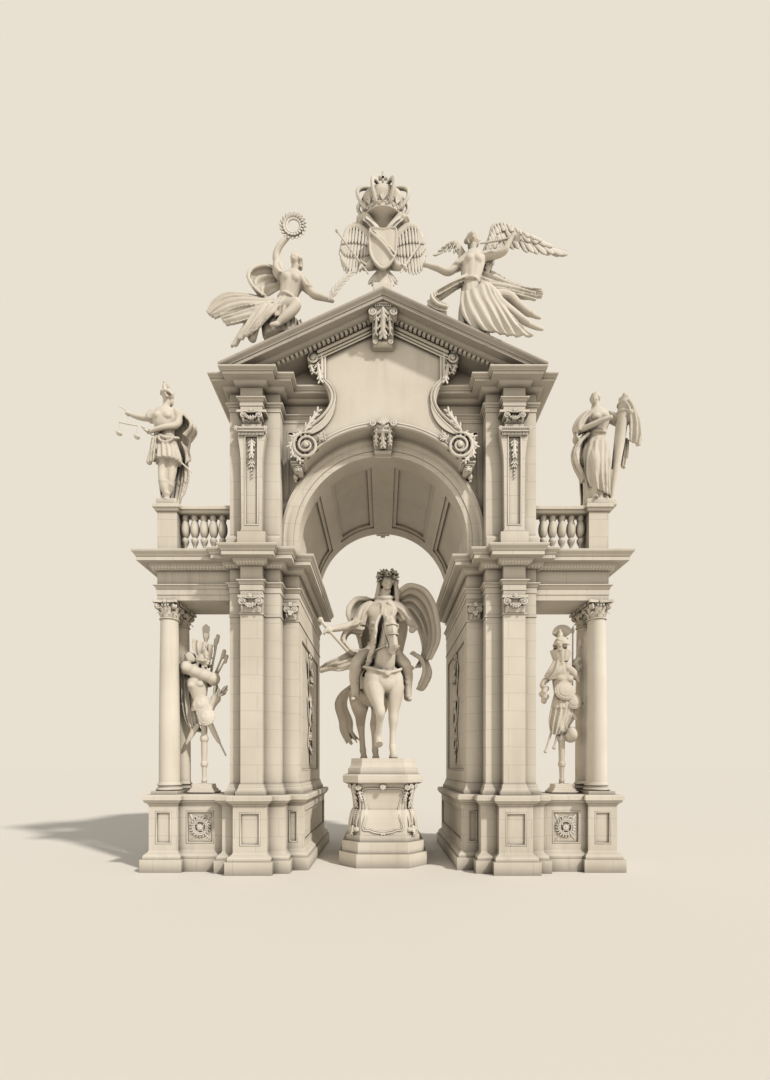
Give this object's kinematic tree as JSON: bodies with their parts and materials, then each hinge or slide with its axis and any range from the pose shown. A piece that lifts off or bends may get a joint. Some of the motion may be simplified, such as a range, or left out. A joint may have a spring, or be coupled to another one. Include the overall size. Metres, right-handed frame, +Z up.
{
  "type": "triumphal arch",
  "caption": "Baroque triumphal arch with open column wings, balustrades, a pedimented upper storey, statues and trophies, and a rider on a pedestal in its passage.",
  "frame": {"origin": "on the ground in the middle of the passage, under the statue's pedestal", "axes": "+Z up, the front with the wings and the tablet faces -Y, +X to the viewer's right"},
  "size_m": [11.1215, 5.2451, 14.08],
  "materials": {
    "masonry": "dressed pale limestone",
    "carving": "carved pale limestone",
    "roofing": "stone slabs"
  },
  "bodies": {
    "root": {"back_archivolt": "masonry", "back_tympanum": "masonry", "back_wall": "masonry", "balusters": "masonry", "barrel_vault": "masonry", "cartouche": "masonry", "crown": "carving", "eagle": "carving", "fame": "carving", "front_archivolt": "masonry", "front_tympanum": "masonry", "front_wall": "masonry", "gable_console": "masonry", "horse": "carving", "keystones": "masonry", "left_column_capitals": "masonry", "left_columns": "masonry", "left_parapet": "masonry", "left_pier": "masonry", "left_pier_capitals": "masonry", "left_pier_entablature": "masonry", "left_pier_pedestal": "masonry", "left_statue": "carving", "left_trophy": "carving", "left_upper_pier": "masonry", "left_upper_pilasters": "masonry", "left_wing_entablature": "masonry", "left_wing_pedestal": "masonry", "rider": "carving", "right_column_capitals": "masonry", "right_columns": "masonry", "right_parapet": "masonry", "right_pier": "masonry", "right_pier_capitals": "masonry", "right_pier_entablature": "masonry", "right_pier_pedestal": "masonry", "right_statue": "carving", "right_trophy": "carving", "right_upper_pier": "masonry", "right_upper_pilasters": "masonry", "right_wing_entablature": "masonry", "right_wing_pedestal": "masonry", "roof": "roofing", "statue_pedestal": "masonry", "upper_entablature": "masonry", "victory": "carving"}
  },
  "joints": []
}
